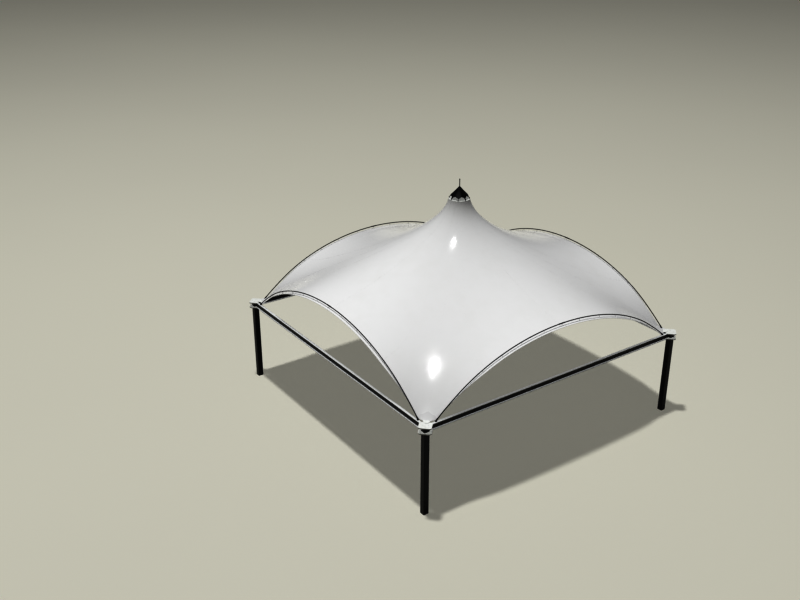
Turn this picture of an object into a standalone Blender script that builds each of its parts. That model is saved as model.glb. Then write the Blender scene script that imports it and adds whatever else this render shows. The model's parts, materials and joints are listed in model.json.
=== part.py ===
"""A square marquee: four posts, plated corner nodes, eaves beams, four side arches and a peaked membrane.

Metres, +Z up. The origin is on the ground, under the middle of the square.
Every side and every corner is the first one turned by quarter turns about the middle.
"""

import math

import bmesh
import bpy
import numpy as np
from mathutils import Matrix, Vector

# The square, between post axes, and the clearance that touching pieces keep.
SPAN = 8.0
HALF = SPAN / 2
GAP = 0.0003
SIDES = ("front_left", "front_right", "rear_right", "rear_left")
CORNERS = ("front", "right", "rear", "left")

# Posts, and the two plates of each corner node with the beam ends between them. The plates
# lie square to the diagonal.
POST = 0.142
POST_ROUND = 0.014
PLATE_ACROSS = 0.31
PLATE_DEEP = 0.27
PLATE_ROUND = 0.055
PLATE_REACH = ((PLATE_ACROSS + PLATE_DEEP) / 2 - 2 * PLATE_ROUND) / math.sqrt(2.0) + PLATE_ROUND
PLATE_THICK = 0.025
LOWER_PLATE_Z = 2.18
BEAM_HIGH = 0.115
BEAM_WIDE = 0.022
BEAM_ROUND = 0.004
UPPER_PLATE_Z = LOWER_PLATE_Z + PLATE_THICK + BEAM_HIGH
NODE_TOP = UPPER_PLATE_Z + PLATE_THICK
RAIL_WIDE = 0.066
LOWER_RAIL_WIDE = 0.096
RAIL_THICK = 0.012
RAIL_ROUND = 0.004

# Arch tubes: a half ellipse's upper part that eases off towards its feet on the beams.
ARCH_IN = 0.02
ARCH_TOP = 3.712
ARCH_A = 4.357
ARCH_B = 3.04
ARCH_FOOT = 3.70
ARCH_TUBE = 0.011
FOOT_FROM = 3.1
FOOT_EASE = 0.18
ARCH_STEPS = 40
ARCH_SIDES = 10
SOCKET_TUBE = 0.016
SOCKET_LONG = 0.08
FLANGE_R = 0.026
FLANGE_THICK = 0.014

# The membrane's free edge, a curve of the same kind under each arch. It runs outside the
# arch in the middle and turns inside the arch's feet at the corners, where it is cut square
# to the diagonal.
SKIN_THICK = 0.006
EDGE_IN = 0.045
EDGE_OUT = 0.04
EDGE_TURN = (2.2, 3.5)
EDGE_TOP = 3.627
EDGE_A = 4.45
EDGE_B = 3.093
EDGE_END = 3.66
CORNER_OUT = 0.075
EDGE_STEPS = 16
CORNER_STEPS = 4
RING_STEPS = 14
HOOP_SHARE = 0.42
SHAPING_ROUNDS = 14

# The short plates that hold the membrane's corners. Each point is a distance in from the
# post's axis along the square's diagonal, and half the plate's width there.
CLAMP_THICK = 0.010
CLAMP_TIP = (0.085, 0.045)
CLAMP_BEND = (0.138, 0.072)
CLAMP_BACK_HALF = 0.10

# The peak: a crown ring on the mast head, a cap on its own frame, and a spire.
RING_R = 0.275
RING_WALL = 0.035
RING_LOW = 5.61
RING_HIGH = 5.69
RING_PLATE = 0.012
RING_SKIN_Z = 5.682
RING_SEGMENTS = 64
SPOKES = 8
SPOKE_WIDE = 0.014
SPOKE_ARC_STEPS = 8
HUB_R = 0.055
CAP_RIM_R = 0.24
CAP_RIM_Z = 5.757
CAP_TIP_R = 0.034
CAP_TIP_Z = 5.985
CAP_DIP_R = 0.212
CAP_DIP_Z = 5.797
CAP_THICK = 0.008
CAP_TIP_DIP = 0.98
MAST_R = 0.05
SPIGOT_R = 0.026
MAST_TOP = CAP_TIP_Z - CAP_THICK - GAP
ROUND_SEGMENTS = 24

# The frame between the crown ring and the cap: a hub, with an arm and a leg at each rib.
CAP_HUB_R = 0.043
CAP_HUB_LOW = 5.880
CAP_HUB_HIGH = 5.946
ARM_WIDE = 0.012
ARM_DEEP = 0.016
ARM_DROP = 0.022
ARM_BEND_R = 0.228
LEG_R = 0.262
KNEE_Z = 5.728
SPIRE_TOP = 6.212
SPIRE_BASE_R = 0.026
SPIRE_BASE_HIGH = 0.008
SPIRE_NECK_HIGH = 0.030
SPIRE_R = 0.0095
SPIRE_KNOB_R = 0.0125
SPIRE_KNOB_LONG = 0.030
SPIRE_SEGMENTS = 16

# The foot that the mast stands in.
FOOT_R = 0.22
FOOT_THICK = 0.012
SOCKET_R = 0.066
SOCKET_HIGH = 0.16


def clear_scene():
    for old in list(bpy.data.objects):
        bpy.data.objects.remove(old, do_unlink=True)


def finish_of(name, colour, roughness, metallic=0.0):
    made = bpy.data.materials.new(name)
    made.use_nodes = True
    shader = made.node_tree.nodes["Principled BSDF"]
    shader.inputs["Base Color"].default_value = (*colour, 1.0)
    shader.inputs["Roughness"].default_value = roughness
    shader.inputs["Metallic"].default_value = metallic
    made.diffuse_color = (*colour, 1.0)
    return made


def mesh_from(bm, name, material, smooth=False):
    """Turns a bmesh into a mesh with one material, faces pointing out."""
    bmesh.ops.recalc_face_normals(bm, faces=bm.faces)
    mesh = bpy.data.meshes.new(name)
    bm.to_mesh(mesh)
    bm.free()
    mesh.materials.append(material)
    if smooth:
        mesh.shade_smooth()
        mesh.set_sharp_from_angle(angle=math.radians(35))
    return mesh


def place(name, mesh, turns=0):
    """Adds the mesh as its own object, turned about the middle by quarter turns."""
    made = bpy.data.objects.new(name, mesh)
    made.rotation_euler = (0.0, 0.0, turns * math.pi / 2)
    bpy.context.scene.collection.objects.link(made)
    return made


def hide_helper(helper):
    helper.hide_render = True
    helper.display_type = "WIRE"


def rounded_square(cx, cy, wide, deep, radius, steps=4):
    """Points round a rectangle with quarter-circle corners, anticlockwise."""
    points = []
    for quarter in range(4):
        sx = 1 if quarter in (0, 3) else -1
        sy = 1 if quarter in (0, 1) else -1
        for step in range(steps + 1):
            angle = math.pi / 2 * (quarter + step / steps)
            x = cx + sx * (wide / 2 - radius) + radius * math.cos(angle)
            y = cy + sy * (deep / 2 - radius) + radius * math.sin(angle)
            points.append((x, y))
    return points


def add_prism(bm, outline, low, high):
    """Adds the flat outline to the bmesh, extruded from low to high."""
    face = bm.faces.new([bm.verts.new((x, y, low)) for x, y in outline])
    grown = bmesh.ops.extrude_face_region(bm, geom=[face])
    top = [item for item in grown["geom"] if isinstance(item, bmesh.types.BMVert)]
    bmesh.ops.translate(bm, verts=top, vec=(0.0, 0.0, high - low))


def prism(outline, low, high):
    bm = bmesh.new()
    add_prism(bm, outline, low, high)
    return bm


def revolve(profile, segments):
    """A bmesh of the profile's (radius, height) points turned once about the Z axis."""
    bm = bmesh.new()
    verts = [bm.verts.new((r, 0.0, z)) for r, z in profile]
    edges = [bm.edges.new((a, b)) for a, b in zip(verts, verts[1:])]
    bmesh.ops.spin(
        bm, geom=verts + edges, cent=(0, 0, 0), axis=(0, 0, 1), angle=2 * math.pi, steps=segments
    )
    bmesh.ops.remove_doubles(bm, verts=bm.verts, dist=1e-5)
    return bm


def skin_rings(bm, rings):
    """Bridges equal rings of vertices in order and closes both ends."""
    for low, high in zip(rings, rings[1:]):
        count = len(low)
        for i in range(count):
            j = (i + 1) % count
            bm.faces.new((low[i], low[j], high[j], high[i]))
    bm.faces.new(list(reversed(rings[0])))
    bm.faces.new(rings[-1])


def make_posts(black):
    outline = rounded_square(HALF, -HALF, POST, POST, POST_ROUND)
    mesh = mesh_from(prism(outline, 0.0, UPPER_PLATE_Z - GAP), "post", black, smooth=True)
    for turns, corner in enumerate(CORNERS):
        place(f"post_{corner}", mesh, turns)


def make_node_plates(white):
    """A collar plate round each post's top and a plate that closes the node."""
    steps = 7
    outer = []
    for along, across in rounded_square(0.0, 0.0, PLATE_DEEP, PLATE_ACROSS, PLATE_ROUND, steps):
        x, y = (along + across) / math.sqrt(2.0), (across - along) / math.sqrt(2.0)
        outer.append((HALF + x, y - HALF))
    hole_size = POST + 2 * GAP
    hole = rounded_square(HALF, -HALF, hole_size, hole_size, POST_ROUND, steps)
    half_corner = (steps + 1) // 2
    hole = hole[-half_corner:] + hole[:-half_corner]
    bm = bmesh.new()
    loops = []
    for outline, z in (
        (outer, LOWER_PLATE_Z),
        (outer, LOWER_PLATE_Z + PLATE_THICK),
        (hole, LOWER_PLATE_Z + PLATE_THICK),
        (hole, LOWER_PLATE_Z),
    ):
        loops.append([bm.verts.new((x, y, z)) for x, y in outline])
    count = len(outer)
    for low, high in zip(loops, loops[1:] + loops[:1]):
        for i in range(count):
            j = (i + 1) % count
            bm.faces.new((low[i], low[j], high[j], high[i]))
    collar = mesh_from(bm, "collar_plate", white, smooth=True)
    top = mesh_from(prism(outer, UPPER_PLATE_Z, NODE_TOP), "top_plate", white, smooth=True)
    for turns, corner in enumerate(CORNERS):
        place(f"collar_plate_{corner}", collar, turns)
        place(f"top_plate_{corner}", top, turns)


def make_beams(black, aluminium):
    """Slim beams between the posts, held between the node plates, with a wider rail along the
    top of each and a still wider one along the bottom."""
    low = LOWER_PLATE_Z + PLATE_THICK + GAP
    high = UPPER_PLATE_Z - GAP
    length = SPAN - POST - 2 * GAP
    section = rounded_square(0.0, 0.0, high - low, BEAM_WIDE, BEAM_ROUND)
    bm = prism(section, -length / 2, length / 2)
    lay_down = Matrix.Rotation(math.pi / 2, 4, "Y")
    bmesh.ops.transform(bm, matrix=lay_down, verts=bm.verts)
    bmesh.ops.translate(bm, verts=bm.verts, vec=(0.0, -HALF, (low + high) / 2))
    beam = mesh_from(bm, "beam", black, smooth=True)

    rail_long = SPAN - 2 * (PLATE_REACH + GAP)
    rails = {}
    for name, rail_low, wide in (
        ("beam_rail", high + GAP, RAIL_WIDE),
        ("lower_rail", low - GAP - RAIL_THICK, LOWER_RAIL_WIDE),
    ):
        outline = rounded_square(0.0, -HALF, rail_long, wide, RAIL_ROUND, 2)
        rails[name] = mesh_from(prism(outline, rail_low, rail_low + RAIL_THICK), name, aluminium)
    for turns, side in enumerate(SIDES):
        place(f"beam_{side}", beam, turns)
        for name, rail in rails.items():
            place(f"{name}_{side}", rail, turns)


def past_ease(x):
    return max(0.0, abs(x) - FOOT_FROM)


def curve_height(x, top, a, b):
    return top - b * (1.0 - math.sqrt(1.0 - (x / a) ** 2)) + FOOT_EASE * past_ease(x) ** 2


def arch_point(x):
    return Vector((x, -(HALF - ARCH_IN), curve_height(x, ARCH_TOP, ARCH_A, ARCH_B)))


def arch_slope(x):
    """Unit tangent of the arch at x, towards +X."""
    share = x / ARCH_A
    rise = -ARCH_B * share / (ARCH_A * math.sqrt(1.0 - share**2))
    rise += math.copysign(2 * FOOT_EASE * past_ease(x), x)
    return Vector((1.0, 0.0, rise)).normalized()


def arch_stations():
    """(x, tube radius) along the arch, closer together in the sockets."""
    socket_run = SOCKET_LONG * arch_slope(ARCH_FOOT).x
    inner = ARCH_FOOT - socket_run
    stations = []
    for step in range(ARCH_STEPS + 1):
        angle = math.pi * (step / ARCH_STEPS - 0.5)
        x = inner * math.sin(angle)
        stations.append((x, ARCH_TUBE))
    ends = []
    for x, radius in ((inner, SOCKET_TUBE), (ARCH_FOOT, SOCKET_TUBE)):
        ends.append((x, radius))
    return [(-x, r) for x, r in reversed(ends)] + stations + ends


def make_arches(black):
    """Arch tubes with socket ends that widen into flat flanges on the beam rails."""
    seat = UPPER_PLATE_Z + RAIL_THICK + GAP
    flange_top = seat + FLANGE_THICK
    out = Vector((0.0, -1.0, 0.0))
    bm = bmesh.new()

    def tube_ring(x, radius):
        centre = arch_point(x)
        up = out.cross(arch_slope(x)) * -1.0
        points = []
        for i in range(ARCH_SIDES):
            angle = 2 * math.pi * i / ARCH_SIDES
            points.append(centre + radius * (math.cos(angle) * out + math.sin(angle) * up))
        return points

    def slanted_to_flat(points, x):
        """Slides the ring's points along the tube onto the flange's top face."""
        along = arch_slope(x)
        return [p + along * ((flange_top - p.z) / along.z) for p in points]

    def flange_ring(points, z):
        """A round ring on the flange, with its points at the same bearings as the tube's."""
        centre = sum(points, Vector()) / len(points)
        ring = []
        for p in points:
            bearing = Vector((p.x - centre.x, p.y - centre.y, 0.0)).normalized()
            ring.append(Vector((centre.x, centre.y, z)) + FLANGE_R * bearing)
        return ring

    stations = arch_stations()
    rings = [tube_ring(x, radius) for x, radius in stations]
    left = slanted_to_flat(rings[0], stations[0][0])
    right = slanted_to_flat(rings[-1], stations[-1][0])
    ordered = [flange_ring(left, seat), flange_ring(left, flange_top), left]
    ordered += rings[1:-1]
    ordered += [right, flange_ring(right, flange_top), flange_ring(right, seat)]
    skin_rings(bm, [[bm.verts.new(p) for p in ring] for ring in ordered])
    mesh = mesh_from(bm, "arch", black, smooth=True)
    for turns, side in enumerate(SIDES):
        place(f"arch_{side}", mesh, turns)


def edge_plane(x):
    """How far out the free edge runs at x."""
    start, end = EDGE_TURN
    share = min(max((abs(x) - start) / (end - start), 0.0), 1.0)
    turned_in = share**2 * (3.0 - 2.0 * share)
    return -(HALF + EDGE_OUT) + (EDGE_OUT + EDGE_IN) * turned_in


def quarter_edge():
    """The membrane's outer edge for one side and the corner after it."""
    points = []
    for step in range(EDGE_STEPS):
        x = EDGE_END * (2 * step / EDGE_STEPS - 1)
        points.append((x, edge_plane(x), curve_height(x, EDGE_TOP, EDGE_A, EDGE_B)))
    plane = edge_plane(EDGE_END)
    low = curve_height(EDGE_END, EDGE_TOP, EDGE_A, EDGE_B)
    for step in range(CORNER_STEPS):
        share = step / CORNER_STEPS
        run = (HALF - EDGE_IN - EDGE_END) * share
        out = CORNER_OUT * min(1.0, 4 * share, 4 * (1.0 - share)) / math.sqrt(2.0)
        points.append((EDGE_END + run + out, plane + run - out, low))
    return np.array(points)


def whole_edge():
    quarter = quarter_edge()
    turned = []
    for turns in range(4):
        angle = turns * math.pi / 2
        turn = np.array(
            [
                [math.cos(angle), math.sin(angle), 0.0],
                [-math.sin(angle), math.cos(angle), 0.0],
                [0.0, 0.0, 1.0],
            ]
        )
        turned.append(quarter @ turn)
    return np.concatenate(turned)


def tension_weights(grid):
    """Force densities of a net stretched with a fixed ratio of hoop to radial stress."""
    radial = np.linalg.norm(grid[1:] - grid[:-1], axis=2)
    hoop = np.linalg.norm(np.roll(grid, -1, axis=1) - grid, axis=2)
    hoop_width = (np.roll(hoop, 1, axis=1) + hoop) / 2
    radial_width = np.zeros_like(hoop)
    radial_width[1:-1] = (radial[1:] + radial[:-1]) / 2
    radial_width = (radial_width + np.roll(radial_width, -1, axis=1)) / 2
    reach = np.linalg.norm(grid[..., :2], axis=2).mean(axis=1)
    stress = (reach / reach[0]) ** (HOOP_SHARE - 1)
    radial_stress = (stress[1:] + stress[:-1]) / 2
    along = (hoop_width[1:] + hoop_width[:-1]) / 2 / radial * radial_stress[:, None]
    round_about = HOOP_SHARE * stress[:, None] * radial_width / hoop
    return along, round_about


def balance(grid):
    """The grid with every free knot in balance between its neighbours."""
    rows, columns = grid.shape[0] - 1, grid.shape[1]
    along, round_about = tension_weights(grid)
    size = (rows - 1) * columns
    matrix = np.zeros((size, size))
    pull = np.zeros((size, 3))
    for i in range(1, rows):
        for j in range(columns):
            here = (i - 1) * columns + j
            after, before = (j + 1) % columns, (j - 1) % columns
            ties = (
                (along[i, j], i + 1, j),
                (along[i - 1, j], i - 1, j),
                (round_about[i, j], i, after),
                (round_about[i, before], i, before),
            )
            for weight, ti, tj in ties:
                matrix[here, here] += weight
                if 0 < ti < rows:
                    matrix[here, (ti - 1) * columns + tj] -= weight
                else:
                    pull[here] += weight * grid[ti, tj]
    solved = grid.copy()
    solved[1:rows] = np.linalg.solve(matrix, pull).reshape(rows - 1, columns, 3)
    return solved


def membrane_grid():
    """Knots of the tensioned skin: rows run from the crown ring to the edge, columns run round."""
    outer = whole_edge()
    bearing = np.arctan2(outer[:, 1], outer[:, 0])
    start = RING_R + 2 * GAP
    inner = np.stack(
        [start * np.cos(bearing), start * np.sin(bearing), np.full(len(outer), RING_SKIN_Z)], 1
    )
    spread = (np.arange(RING_STEPS + 1) / RING_STEPS) ** 1.6
    grid = inner[None] + (outer - inner)[None] * spread[:, None, None]
    for _ in range(SHAPING_ROUNDS):
        grid = balance(grid)
    return grid


def grid_normals(grid):
    """Unit normals of the skin at its knots, pointing up and out."""
    down = np.gradient(grid, axis=0)
    across = (np.roll(grid, -1, axis=1) - np.roll(grid, 1, axis=1)) / 2
    normal = np.cross(down, across)
    return normal / np.linalg.norm(normal, axis=2)[..., None]


def make_membrane(fabric):
    """One panel of skin for each side, from seam to seam, with the seams on the square's diagonals."""
    grid = membrane_grid()
    per_side = EDGE_STEPS + CORNER_STEPS
    half_corner = CORNER_STEPS // 2
    columns = [(i - half_corner) % grid.shape[1] for i in range(per_side + 1)]
    centre = grid[:, columns]
    offset = grid_normals(grid)[:, columns] * SKIN_THICK / 2
    upright = (0.0, 0.0, SKIN_THICK / 2)
    offset[0] = upright
    offset[-1, : half_corner + 1] = upright
    offset[-1, -half_corner - 1 :] = upright
    seam_shift = GAP / 2 / math.sqrt(2.0)
    centre[:, 0] += (seam_shift, -seam_shift, 0.0)
    centre[:, -1] += (-seam_shift, -seam_shift, 0.0)
    bm = bmesh.new()
    over = [[bm.verts.new(p) for p in row] for row in centre + offset]
    under = [[bm.verts.new(p) for p in row] for row in centre - offset]
    rows, wide = len(over), len(columns)
    for i in range(rows - 1):
        for j in range(wide - 1):
            bm.faces.new((over[i][j], over[i + 1][j], over[i + 1][j + 1], over[i][j + 1]))
            bm.faces.new((under[i][j], under[i][j + 1], under[i + 1][j + 1], under[i + 1][j]))
    rim = [(0, j) for j in range(wide)]
    rim += [(i, wide - 1) for i in range(1, rows)]
    rim += [(rows - 1, j) for j in range(wide - 2, -1, -1)]
    rim += [(i, 0) for i in range(rows - 2, 0, -1)]
    for (i, j), (k, m) in zip(rim, rim[1:] + rim[:1]):
        bm.faces.new((over[i][j], over[k][m], under[k][m], under[i][j]))
    mesh = mesh_from(bm, "membrane", fabric, smooth=True)
    for turns, side in enumerate(SIDES):
        place(f"membrane_{side}", mesh, turns)


def make_corner_clamps(white):
    """Short plates from each node's top, between the arch feet, to the membrane's corner."""
    corner_in = (HALF - (HALF - EDGE_IN + EDGE_END) / 2) * math.sqrt(2.0) - CORNER_OUT
    back = (corner_in - GAP, CLAMP_BACK_HALF)
    low_z = NODE_TOP + GAP
    back_z = curve_height(EDGE_END, EDGE_TOP, EDGE_A, EDGE_B) - CLAMP_THICK / 2
    stations = ((*CLAMP_TIP, low_z), (*CLAMP_BEND, low_z), (*back, back_z))
    corner = Vector((HALF, -HALF, 0.0))
    inward = Vector((-1.0, 1.0, 0.0)).normalized()
    sideways = Vector((1.0, 1.0, 0.0)).normalized()
    bm = bmesh.new()
    rings = []
    for run, half, z in stations:
        ring = []
        for side, rise in ((-1, 0.0), (1, 0.0), (1, CLAMP_THICK), (-1, CLAMP_THICK)):
            point = corner + run * inward + side * half * sideways
            ring.append(bm.verts.new((point.x, point.y, z + rise)))
        rings.append(ring)
    skin_rings(bm, rings)
    mesh = mesh_from(bm, "corner_clamp", white)
    for turns, name in enumerate(CORNERS):
        place(f"corner_clamp_{name}", mesh, turns)


def circle_arc(radius, start, end, steps):
    angles = [start + (end - start) * i / steps for i in range(steps + 1)]
    return [(radius * math.cos(a), radius * math.sin(a)) for a in angles]


def spoke_spaces():
    """The spaces between the ribs under the crown's plate, and the hole through its hub."""
    low, high = RING_LOW - HUB_R, RING_HIGH + HUB_R
    bm = bmesh.new()
    for spoke in range(SPOKES):
        start = 2 * math.pi * spoke / SPOKES
        end = start + 2 * math.pi / SPOKES
        outline = []
        for radius, order in ((RING_R - RING_WALL, 1), (HUB_R, -1)):
            trim = math.asin(SPOKE_WIDE / 2 / radius)
            outline += circle_arc(radius, start + trim, end - trim, SPOKE_ARC_STEPS)[::order]
        add_prism(bm, outline, low, RING_HIGH - RING_PLATE)
    add_prism(bm, circle_arc(SPIGOT_R + GAP, 0.0, 2 * math.pi, ROUND_SEGMENTS)[:-1], low, high)
    return bm


def cut(target, cutter, operation="DIFFERENCE"):
    modifier = target.modifiers.new(operation.title(), "BOOLEAN")
    modifier.operation = operation
    modifier.object = cutter
    hide_helper(cutter)


def make_crown_ring(white):
    profile = [(0.0, RING_LOW), (RING_R, RING_LOW), (RING_R, RING_HIGH), (0.0, RING_HIGH)]
    disc = revolve(profile, RING_SEGMENTS)
    ring = place("crown_ring", mesh_from(disc, "crown_ring", white, smooth=True))
    cutter = place("crown_ring_spaces", mesh_from(spoke_spaces(), "crown_ring_spaces", white))
    cut(ring, cutter)


def make_mast(black):
    shoulder = RING_LOW - GAP
    profile = [
        (0.0, FOOT_THICK + GAP),
        (MAST_R, FOOT_THICK + GAP),
        (MAST_R, shoulder),
        (SPIGOT_R, shoulder),
        (SPIGOT_R, MAST_TOP),
        (0.0, MAST_TOP),
    ]
    mast = mesh_from(revolve(profile, ROUND_SEGMENTS), "centre_mast", black, smooth=True)
    place("centre_mast", mast)


def make_mast_foot(black):
    bore = MAST_R + GAP
    profile = [
        (0.0, 0.0),
        (FOOT_R, 0.0),
        (FOOT_R, FOOT_THICK),
        (SOCKET_R, FOOT_THICK),
        (SOCKET_R, SOCKET_HIGH),
        (bore, SOCKET_HIGH),
        (bore, FOOT_THICK),
        (0.0, FOOT_THICK),
    ]
    foot = mesh_from(revolve(profile, ROUND_SEGMENTS), "mast_foot", black, smooth=True)
    place("mast_foot", foot)


def cap_ridge(r):
    """Height of the cap's outer surface along a ridge."""
    share = (r - CAP_TIP_R) / (CAP_RIM_R - CAP_TIP_R)
    return CAP_TIP_Z + (CAP_RIM_Z - CAP_TIP_Z) * share


def make_cap(black):
    """A pleated cap, open below, with a ridge over each rib and a flat seat at its tip."""
    count = 2 * SPOKES

    def star(ridge_r, ridge_z, dip_r, dip_z):
        points = []
        for i in range(count):
            angle = math.pi * i / SPOKES
            r, z = (ridge_r, ridge_z) if i % 2 == 0 else (dip_r, dip_z)
            points.append(bm.verts.new((r * math.cos(angle), r * math.sin(angle), z)))
        return points

    def ring(r_in, drop):
        """The tip's and the rim's points, drawn in and lowered."""
        tip = star(CAP_TIP_R, CAP_TIP_Z - drop, CAP_TIP_R * CAP_TIP_DIP, CAP_TIP_Z - drop)
        rim = star(CAP_RIM_R - r_in, CAP_RIM_Z - drop, CAP_DIP_R - r_in, CAP_DIP_Z - drop)
        return tip, rim

    bm = bmesh.new()
    tip, rim = ring(0.0, 0.0)
    inner_tip, inner_rim = ring(CAP_THICK / 4, CAP_THICK)
    skin_rings(bm, [tip, rim, inner_rim, inner_tip])
    place("peak_cap", mesh_from(bm, "peak_cap", black))


def arm_outline():
    """Side view of one cap arm and its leg, as (radius, height) points."""
    inner_r = SPIGOT_R + ARM_DEEP / 2
    inner_z = cap_ridge(inner_r) - ARM_DROP
    bend_z = cap_ridge(ARM_BEND_R) - ARM_DROP
    foot = RING_HIGH + GAP
    leg_in = LEG_R - ARM_DEEP / 2
    leg_out = LEG_R + ARM_DEEP / 2
    return [
        (inner_r, inner_z),
        (ARM_BEND_R, bend_z),
        (leg_out, KNEE_Z),
        (leg_out, foot),
        (leg_in, foot),
        (leg_in, KNEE_Z - ARM_DEEP / 2),
        (ARM_BEND_R - ARM_DEEP / 2, bend_z - ARM_DEEP),
        (inner_r, inner_z - 2 * ARM_DEEP),
    ]


def make_cap_frame(black):
    """A hub on the mast's head, with arms under the cap's ridges and legs down to the ring."""
    bore = SPIGOT_R + GAP
    profile = [
        (bore, CAP_HUB_LOW),
        (CAP_HUB_R, CAP_HUB_LOW),
        (CAP_HUB_R, CAP_HUB_HIGH),
        (bore, CAP_HUB_HIGH),
        (bore, CAP_HUB_LOW),
    ]
    hub = mesh_from(revolve(profile, ROUND_SEGMENTS), "cap_frame", black, smooth=True)
    frame = place("cap_frame", hub)
    bm = bmesh.new()
    outline = arm_outline()
    for spoke in range(SPOKES):
        turn = Matrix.Rotation(2 * math.pi * spoke / SPOKES, 4, "Z")
        faces = []
        for side in (-1, 1):
            points = [turn @ Vector((r, side * ARM_WIDE / 2, z)) for r, z in outline]
            faces.append([bm.verts.new(p) for p in points])
        skin_rings(bm, faces)
    arms = place("cap_frame_arms", mesh_from(bm, "cap_frame_arms", black))
    cut(frame, arms, "UNION")


def make_spire(black):
    """A thin rod on a small base, with a slightly thicker end."""
    seat = CAP_TIP_Z + GAP
    knob = SPIRE_TOP - SPIRE_KNOB_LONG
    profile = [
        (0.0, seat),
        (SPIRE_BASE_R, seat),
        (SPIRE_BASE_R, seat + SPIRE_BASE_HIGH),
        (SPIRE_R, seat + SPIRE_NECK_HIGH),
        (SPIRE_R, knob),
        (SPIRE_KNOB_R, knob + SPIRE_KNOB_R / 2),
        (SPIRE_KNOB_R, SPIRE_TOP - SPIRE_KNOB_R / 2),
        (SPIRE_KNOB_R / 2, SPIRE_TOP),
        (0.0, SPIRE_TOP),
    ]
    spire = mesh_from(revolve(profile, SPIRE_SEGMENTS), "spire", black, smooth=True)
    place("spire", spire)


def main():
    clear_scene()
    black = finish_of("black_paint", (0.012, 0.012, 0.013), 0.35)
    white = finish_of("white_paint", (0.86, 0.87, 0.85), 0.4)
    aluminium = finish_of("anodised_aluminium", (0.72, 0.73, 0.74), 0.35, 1.0)
    fabric = finish_of("coated_fabric", (0.82, 0.83, 0.83), 0.3)
    make_posts(black)
    make_node_plates(white)
    make_beams(black, aluminium)
    make_arches(black)
    make_membrane(fabric)
    make_corner_clamps(white)
    make_mast_foot(black)
    make_mast(black)
    make_crown_ring(white)
    make_cap_frame(black)
    make_cap(black)
    make_spire(black)


main()
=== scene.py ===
"""Looks of the square marquee: its finishes, the tensioned membrane and the small fittings.

Metres, +Z up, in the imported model's own frame. Every side and every corner is the first one
turned by quarter turns about the middle. The first side is the front left one, along -Y.
"""

import json
import math

import bmesh
import bpy
import numpy as np
from mathutils import Matrix, Vector


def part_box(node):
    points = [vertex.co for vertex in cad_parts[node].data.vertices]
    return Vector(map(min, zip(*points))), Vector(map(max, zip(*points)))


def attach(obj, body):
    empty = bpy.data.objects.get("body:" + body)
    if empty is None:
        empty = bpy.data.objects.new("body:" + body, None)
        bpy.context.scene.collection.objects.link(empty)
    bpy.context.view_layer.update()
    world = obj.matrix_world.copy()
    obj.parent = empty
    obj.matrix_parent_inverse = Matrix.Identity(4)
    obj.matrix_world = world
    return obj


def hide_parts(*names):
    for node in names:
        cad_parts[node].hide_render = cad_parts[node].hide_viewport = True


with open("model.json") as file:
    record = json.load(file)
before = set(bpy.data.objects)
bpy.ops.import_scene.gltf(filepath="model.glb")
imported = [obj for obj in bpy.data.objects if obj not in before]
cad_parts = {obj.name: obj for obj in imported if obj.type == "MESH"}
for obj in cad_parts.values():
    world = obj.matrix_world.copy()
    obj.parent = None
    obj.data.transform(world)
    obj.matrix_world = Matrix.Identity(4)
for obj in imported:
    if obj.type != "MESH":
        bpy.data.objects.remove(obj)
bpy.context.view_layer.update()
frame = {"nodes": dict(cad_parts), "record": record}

SIDES = ("front_left", "front_right", "rear_right", "rear_left")
CORNERS = ("front", "right", "rear", "left")
GAP = 0.0003

# Read from the frame: the posts, the node plates, the rails and the crown ring.
post_low, post_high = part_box("post_front")
HALF = (post_low.x + post_high.x) / 2
POST = post_high.x - post_low.x
COLLAR_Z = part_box("collar_plate_front")[0].z
NODE_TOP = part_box("top_plate_front")[1].z
RAIL_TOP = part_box("beam_rail_front_left")[1].z
RING_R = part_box("crown_ring")[1].x

# The arch tubes and the membrane's free edge, on the same curves as the solids. Each curve is an
# ellipse, A wide and B high from its middle, that eases off from FOOT_FROM to its feet.
ARCH_IN = 0.02
ARCH_TOP = 3.712
ARCH_A = 4.357
ARCH_B = 3.04
ARCH_FOOT = 3.70
ARCH_TUBE = 0.011
ARCH_SLEEVE = 0.016
FOOT_FROM = 3.1
FOOT_EASE = 0.18
ARCH_STEPS = 96
ARCH_SIDES = 24
SOCKET_LONG = 0.08
FLANGE_R = 0.026
FLANGE_THICK = 0.014
FLANGE_EDGE = 0.003
SOCKET_LIP = 0.004
SPLICE_HALF = 0.09
SPLICE_THICK = 0.003
SPLICE_LIP = 0.0022
SPLICE_BEVEL = 0.003
EDGE_IN = 0.045
EDGE_OUT = 0.04
EDGE_TURN = (2.2, 3.5)
EDGE_TOP = 3.627
EDGE_A = 4.45
EDGE_B = 3.093
EDGE_END = 3.66
CORNER_OUT = 0.075
CORNER_RAMP = 4
SKIN_RIM_Z = 5.682

# How the membrane is shaped: a coarse net in balance, then a finer one relaxed from it.
EDGE_STEPS = 16
CORNER_STEPS = 4
RING_STEPS = 14
RING_CROWDING = 1.6
HOOP_SHARE = 0.42
SHAPING_ROUNDS = 14
FINER = 4
RELAX_ROUNDS = 12
RELAX_SWEEPS = 12

# The sheet, what is welded to it, and its ties.
SHEET_THICK = 0.003
LAYER = 0.0012
HEM_START = 0.001
HEM_WIDE = 0.055
HEM_ROPE_R = 0.004
HEM_ROPE_SIDES = 10
PATCH_START = 0.002
PATCH_LONG = 0.22
PATCH_STEPS = 8
PATCH_HALF = 8
PATCH_FLARE = 3
SEAM_WIDE = 0.035
SEAMS_PER_SIDE = 4
TIES_PER_SIDE = 11
TIE_R = 0.002
TIE_STEPS = 20
TIE_SIDES = 6
TIE_LOW_WIDE = 0.35
TIE_INSET = 0.008

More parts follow.
